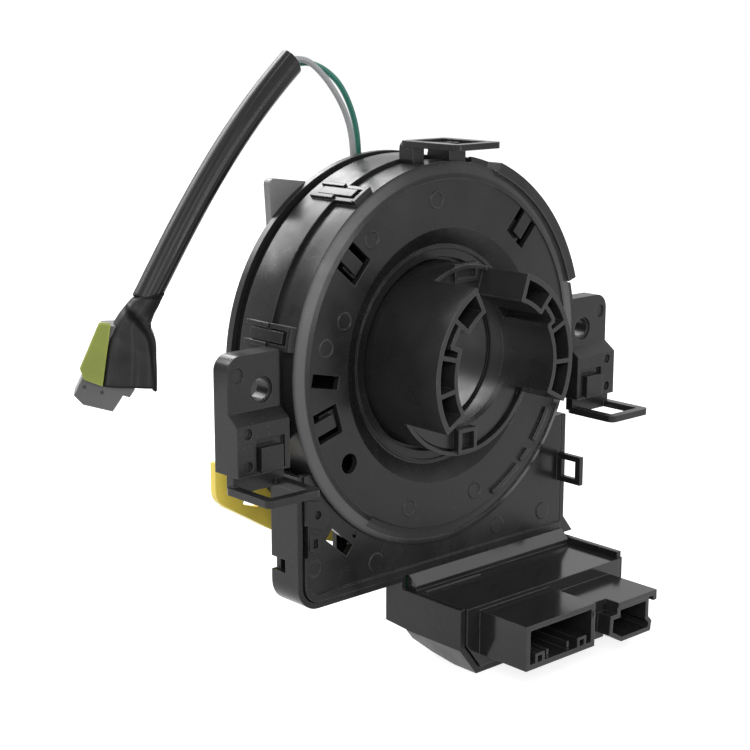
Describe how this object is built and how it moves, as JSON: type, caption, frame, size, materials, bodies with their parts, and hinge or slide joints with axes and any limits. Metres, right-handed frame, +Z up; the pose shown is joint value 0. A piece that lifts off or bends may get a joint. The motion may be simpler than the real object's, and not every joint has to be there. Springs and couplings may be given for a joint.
{
  "type": "steering clock spring",
  "caption": "Round rotary connector for a steering column, with a turning ribbed hub, screw ears, sensor housing, two sockets and a plugged airbag lead.",
  "frame": {"origin": "on the turning axis, level with the rear of the dished case face, where the axis crosses the hub tube", "axes": "Y is the turning axis, -Y towards the steering column and +Y towards the steering wheel; +Z up with the two sockets at the bottom; +X right as seen from the column"},
  "size_m": [0.1585, 0.0813, 0.1584],
  "materials": {
    "case_black": "fine moulded grain, satin",
    "socket_black": "smooth moulded, slightly glossy",
    "rotor_black": "smooth moulded, satin",
    "gear_natural": "natural moulded acetal",
    "ribbon_film": "laminated film",
    "lead_block": "moulded",
    "board_green": "solder mask",
    "chip_black": "moulded package",
    "terminal_tin": "tin plated",
    "magnet_dark": "sintered",
    "lock_yellow": "moulded",
    "wire_white": "wire insulation",
    "wire_green": "wire insulation",
    "sleeve_cloth": "soft woven sleeve",
    "tape_cloth": "cloth tape",
    "plug_grey": "moulded",
    "plug_lime": "moulded, slightly clear"
  },
  "bodies": {
    "root": {"front_case": "case_black", "flat_face": "case_black", "left_ear": "case_black", "right_ear": "case_black", "top_loop": "case_black", "cable_case": "case_black", "rear_cover": "case_black", "socket_block": "socket_black", "large_socket_pins": "terminal_tin", "small_socket_pins": "terminal_tin", "circuit_board": "board_green", "board_chips": "chip_black", "lead_block_fixed": "lead_block", "flat_cable": "ribbon_film"},
    "rotor": {"rotor_hub": "rotor_black", "rotor_flange": "rotor_black", "cancel_sleeve": "rotor_black", "main_gear": "gear_natural", "lead_block_turning": "lead_block", "wheel_connector": "rotor_black", "wheel_connector_pins": "terminal_tin", "lock_tab": "lock_yellow", "white_wire": "wire_white", "green_wire": "wire_green", "lead_sleeve": "sleeve_cloth", "tape_wrap": "tape_cloth", "plug_body": "plug_grey", "plug_lock": "plug_lime"},
    "sensor_a": {"sensor_gear_a": "gear_natural", "sensor_magnet_a": "magnet_dark"},
    "sensor_b": {"sensor_gear_b": "gear_natural", "sensor_magnet_b": "magnet_dark"}
  },
  "joints": [
    {"name": "hub_turn", "type": "hinge", "parent": "root", "child": "rotor", "pos_m": [0, 0, 0], "axis": [0, 1, 0], "range_deg": [-900, 900]},
    {"name": "gear_a_turn", "type": "hinge", "parent": "root", "child": "sensor_a", "pos_m": [-0.01395, -0.0062, -0.03834], "axis": [0, 1, 0], "range_deg": [-2700, 2700]},
    {"name": "gear_b_turn", "type": "hinge", "parent": "root", "child": "sensor_b", "pos_m": [0.01368, -0.0062, -0.03759], "axis": [0, 1, 0], "range_deg": [-2900, 2900]}
  ],
  "couplings": [
    {"joint": "gear_a_turn", "follows": "hub_turn", "ratio": -2.9231},
    {"joint": "gear_b_turn", "follows": "hub_turn", "ratio": -3.1667}
  ]
}
